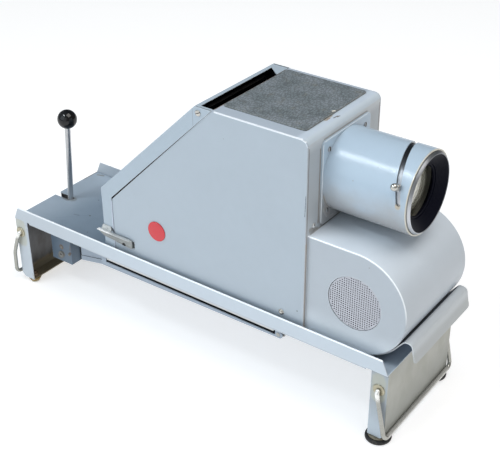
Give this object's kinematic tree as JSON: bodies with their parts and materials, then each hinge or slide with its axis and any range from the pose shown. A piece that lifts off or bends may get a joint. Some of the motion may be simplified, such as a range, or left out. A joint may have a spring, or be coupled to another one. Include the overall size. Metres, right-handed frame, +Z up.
{
  "type": "opaque projector",
  "caption": "Opaque projector on a long two-legged tray: housing with hinged rear hood, mirror and lamp, helical-focus lens tube, blower, and a lever that lowers a sprung platen.",
  "frame": {"origin": "centre of the bounding box, on the surface that the feet stand on", "axes": "+X along the tray towards the lens, +Y towards the side with the mains inlet, +Z up"},
  "size_m": [0.7004, 0.2002, 0.402],
  "materials": {
    "paint_blue": "semi-gloss stoved paint",
    "paint_shade": "semi-gloss stoved paint",
    "paint_grey": "semi-gloss stoved paint",
    "paint_tube": "semi-gloss stoved paint",
    "chrome": "polished",
    "steel": "satin",
    "ball_black": "polished",
    "rubber_black": "matt",
    "rubber_amber": "aged",
    "pad_white": "worn",
    "washer_brown": "tarnished",
    "bush_brass": "nickel plated, dull",
    "glass_clear": "clear",
    "lens_glass": "polished",
    "mirror_face": "front silvered",
    "black_enamel": "matt black",
    "mat": "coarse fibre",
    "badge_red": "glossy",
    "ceramic": "glazed",
    "lamp_brass": "plain",
    "aluminium": "satin",
    "motor_paint": "hammered",
    "plastic_black": "moulded"
  },
  "bodies": {
    "base": {"tray": "paint_blue", "end_lip": "paint_blue", "rear_leg": "paint_blue", "housing_shell": "paint_blue", "lever_bracket_near": "paint_shade", "lever_bracket_far": "paint_shade", "front_leg": "paint_grey", "blower_shell": "paint_grey", "blower_grilles": "paint_grey", "lens_tube": "paint_tube", "body_screws": "chrome", "hood_pivot_screws": "chrome", "lens_tube_screws": "chrome", "foot_screws": "steel", "carrier_hinge_ears": "steel", "carrier_hinge_pins": "steel", "latch_pin": "steel", "motor_bracket": "steel", "front_feet": "rubber_black", "rear_feet": "rubber_amber", "rear_foot_pads": "pad_white", "front_foot_cups": "washer_brown", "leg_bushes": "bush_brass", "stage_glass": "glass_clear", "heat_glass": "glass_clear", "lamp_glass": "glass_clear", "front_mirror": "mirror_face", "light_baffle": "black_enamel", "mirror_frame": "black_enamel", "stage_glass_frame": "black_enamel", "top_mat": "mat", "badge": "badge_red", "lamp_socket": "ceramic", "lamp_base": "lamp_brass", "lamp_reflector": "aluminium", "blower_motor": "motor_paint", "mains_inlet": "plastic_black", "power_switch": "plastic_black"},
    "lever": {"lever_shaft": "steel", "lever_arm": "steel", "cam_rollers": "steel", "lever_rod": "steel", "lever_knob": "ball_black"},
    "platen": {"platen_carrier": "paint_blue", "leaf_springs": "steel"},
    "press": {"pressure_plate": "aluminium"},
    "hood": {"rear_hood": "paint_blue", "hood_catch": "steel"},
    "latch": {"hood_latch": "steel"},
    "lens_cell": {"lens_cell": "black_enamel", "front_lens": "lens_glass", "rear_lens": "lens_glass"},
    "lens_barrel": {"lens_barrel": "chrome", "lens_hood_ring": "black_enamel", "focus_pin": "chrome"},
    "fan": {"fan_shaft": "steel", "impellers": "aluminium"},
    "front_bail": {"front_bail": "chrome"},
    "rear_bail": {"rear_bail": "chrome"},
    "rocker": {"switch_rocker": "plastic_black"}
  },
  "joints": [
    {"name": "lever_swing", "type": "hinge", "parent": "base", "child": "lever", "pos_m": [-0.28121, 0, 0.055], "axis": [0, -1, 0], "range_deg": [0, 45], "stiffness_Nm_per_rad": 1.2, "springref_deg": -34.38},
    {"name": "platen_drop", "type": "hinge", "parent": "base", "child": "platen", "pos_m": [0.15429, 0, 0.1065], "axis": [0, -1, 0], "range_deg": [0, 3.6]},
    {"name": "plate_press", "type": "slide", "parent": "platen", "child": "press", "axis": [0, 0, -1], "range_m": [0, 0.0038], "stiffness_N_per_m": 5000, "springref_m": -0.004, "deforming": ["leaf_springs"]},
    {"name": "hood_open", "type": "hinge", "parent": "base", "child": "hood", "pos_m": [0.02669, 0, 0.3922], "axis": [0, 1, 0], "range_deg": [0, 90]},
    {"name": "latch_pull", "type": "hinge", "parent": "base", "child": "latch", "pos_m": [-0.10031, -0.0826, 0.151], "axis": [0, 0, 1], "range_deg": [0, 12], "stiffness_Nm_per_rad": 0.3, "springref_deg": -2.86},
    {"name": "lens_travel", "type": "slide", "parent": "base", "child": "lens_cell", "axis": [-1, 0, 0], "range_m": [-0.0042, 0.0282]},
    {"name": "lens_turn", "type": "hinge", "parent": "lens_cell", "child": "lens_barrel", "pos_m": [0.28929, 0, 0.3307], "axis": [-1, 0, 0], "range_deg": [-20, 140]},
    {"name": "fan_spin", "type": "hinge", "parent": "base", "child": "fan", "pos_m": [0.26084, 0, 0.1951], "axis": [0, 1, 0], "continuous": true},
    {"name": "front_bail_swing", "type": "hinge", "parent": "base", "child": "front_bail", "pos_m": [0.30819, 0, 0.0867], "axis": [0, -1, 0], "range_deg": [0, 100]},
    {"name": "rear_bail_swing", "type": "hinge", "parent": "base", "child": "rear_bail", "pos_m": [-0.33351, 0, 0.0928], "axis": [0, 1, 0], "range_deg": [0, 100]},
    {"name": "switch_rock", "type": "hinge", "parent": "base", "child": "rocker", "pos_m": [0.06929, 0.0833, 0.15], "axis": [0, 0, -1], "range_deg": [0, 16]}
  ],
  "couplings": [
    {"joint": "platen_drop", "follows": "lever_swing", "ratio": 0.0776},
    {"joint": "lens_travel", "follows": "lens_turn", "m_per_rad": 0.011459}
  ]
}
